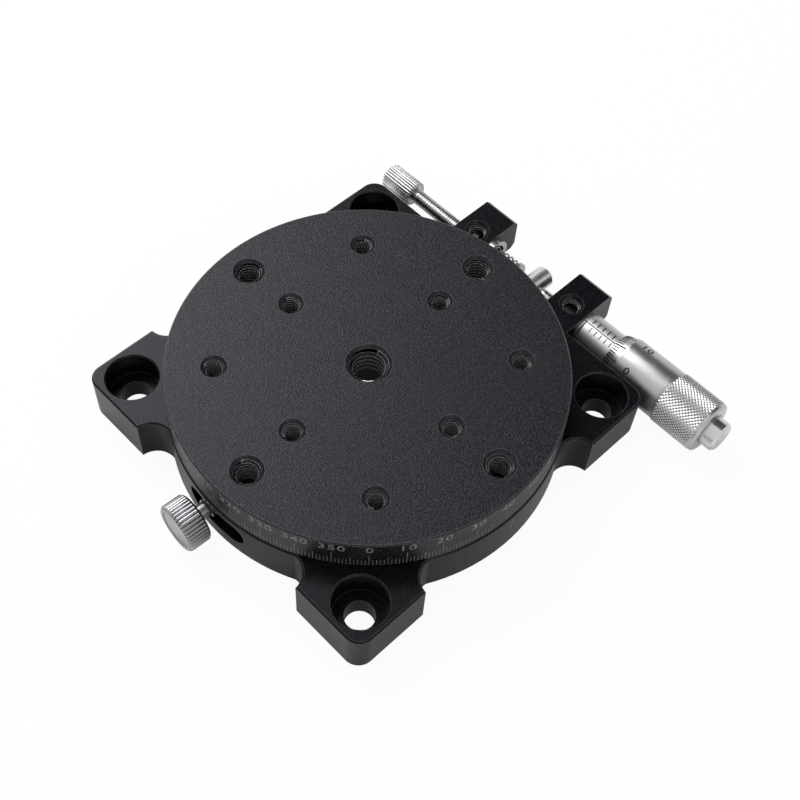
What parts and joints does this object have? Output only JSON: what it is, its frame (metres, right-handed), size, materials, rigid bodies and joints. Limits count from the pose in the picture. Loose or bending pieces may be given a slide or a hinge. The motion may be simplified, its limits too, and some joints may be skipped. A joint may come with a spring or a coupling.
{
  "type": "rotation stage",
  "caption": "Manual rotation stage: a round tapped table on a square-footed base, with a thumb screw clamp, and a micrometer and spring for fine angle.",
  "frame": {"origin": "on the turning axis at the base's bottom face, the centre of the four mounting holes", "axes": "+Z along the turning axis, out of the table; +X towards the micrometer's thimble; +Y towards the drive pin"},
  "size_m": [0.0726, 0.0768, 0.014],
  "materials": {
    "black_anodised": "fine blasted black anodised",
    "steel": "turned and ground",
    "chrome": "satin chrome plated",
    "brass": "turned",
    "spring_steel": "drawn wire"
  },
  "bodies": {
    "base": {"base": "black_anodised", "bearing_spigot": "steel", "spigot_screws": "steel", "bearing_inner_race": "steel", "micrometer_sleeve": "chrome", "adjusting_nut": "steel", "spring_bush": "chrome", "drive_spring": "spring_steel"},
    "clamp_ring": {"clamp_ring": "steel", "drive_pin": "steel"},
    "table": {"table": "black_anodised", "bearing_outer_race": "steel", "bearing_retainer": "black_anodised"},
    "ball_set": {"bearing_balls": "chrome", "bearing_cage": "brass"},
    "clamp_pad": {"clamp_pad": "brass"},
    "lock_screw": {"lock_screw": "chrome"},
    "spindle_tip": {"spindle_tip": "chrome"},
    "thimble": {"spindle": "steel", "thimble": "chrome", "thimble_cap": "chrome"},
    "spring_seat": {"spring_seat": "steel"},
    "spring_screw": {"spring_screw": "chrome"},
    "spring_cap": {"spring_cap": "steel"}
  },
  "joints": [
    {"name": "fine_angle", "type": "hinge", "parent": "base", "child": "clamp_ring", "pos_m": [0, 0, 0], "axis": [0, 0, 1], "range_deg": [-1.7, 8.3]},
    {"name": "table_turn", "type": "hinge", "parent": "clamp_ring", "child": "table", "pos_m": [0, 0, 0], "axis": [0, 0, 1], "continuous": true},
    {"name": "ball_set_turn", "type": "hinge", "parent": "base", "child": "ball_set", "pos_m": [0, 0, 0], "axis": [0, 0, 1], "continuous": true},
    {"name": "lock_travel", "type": "slide", "parent": "clamp_ring", "child": "clamp_pad", "axis": [-0.0576, -0.9983, 0], "range_m": [0, 0.001]},
    {"name": "lock_turn", "type": "hinge", "parent": "clamp_pad", "child": "lock_screw", "pos_m": [0, 0, 0.0047], "axis": [-0.0576, -0.9983, 0], "range_deg": [-0.5, 720.5]},
    {"name": "spindle_travel", "type": "slide", "parent": "base", "child": "spindle_tip", "axis": [-1, 0, 0], "range_m": [-0.00103, 0.005]},
    {"name": "micrometer_turn", "type": "hinge", "parent": "spindle_tip", "child": "thimble", "pos_m": [0, 0.0346, 0.0047], "axis": [-1, 0, 0], "range_deg": [-739, 3601]},
    {"name": "cap_travel", "type": "slide", "parent": "base", "child": "spring_cap", "axis": [-1, 0, 0], "range_m": [-0.00103, 0.005], "deforming": ["drive_spring"]},
    {"name": "preload_travel", "type": "slide", "parent": "base", "child": "spring_seat", "axis": [1, 0, 0], "range_m": [0, 0.0005]},
    {"name": "preload_turn", "type": "hinge", "parent": "spring_seat", "child": "spring_screw", "pos_m": [0, 0.0346, 0.0047], "axis": [1, 0, 0], "range_deg": [-0.5, 400.5]}
  ],
  "couplings": [
    {"joint": "micrometer_turn", "follows": "spindle_travel", "rad_per_m": 12566},
    {"joint": "fine_angle", "follows": "spindle_travel", "rad_per_m": 28.828},
    {"joint": "cap_travel", "follows": "spindle_travel", "ratio": 1},
    {"joint": "ball_set_turn", "follows": "table_turn", "ratio": 0.54255},
    {"joint": "lock_turn", "follows": "lock_travel", "rad_per_m": 12566},
    {"joint": "preload_turn", "follows": "preload_travel", "rad_per_m": 13963}
  ]
}
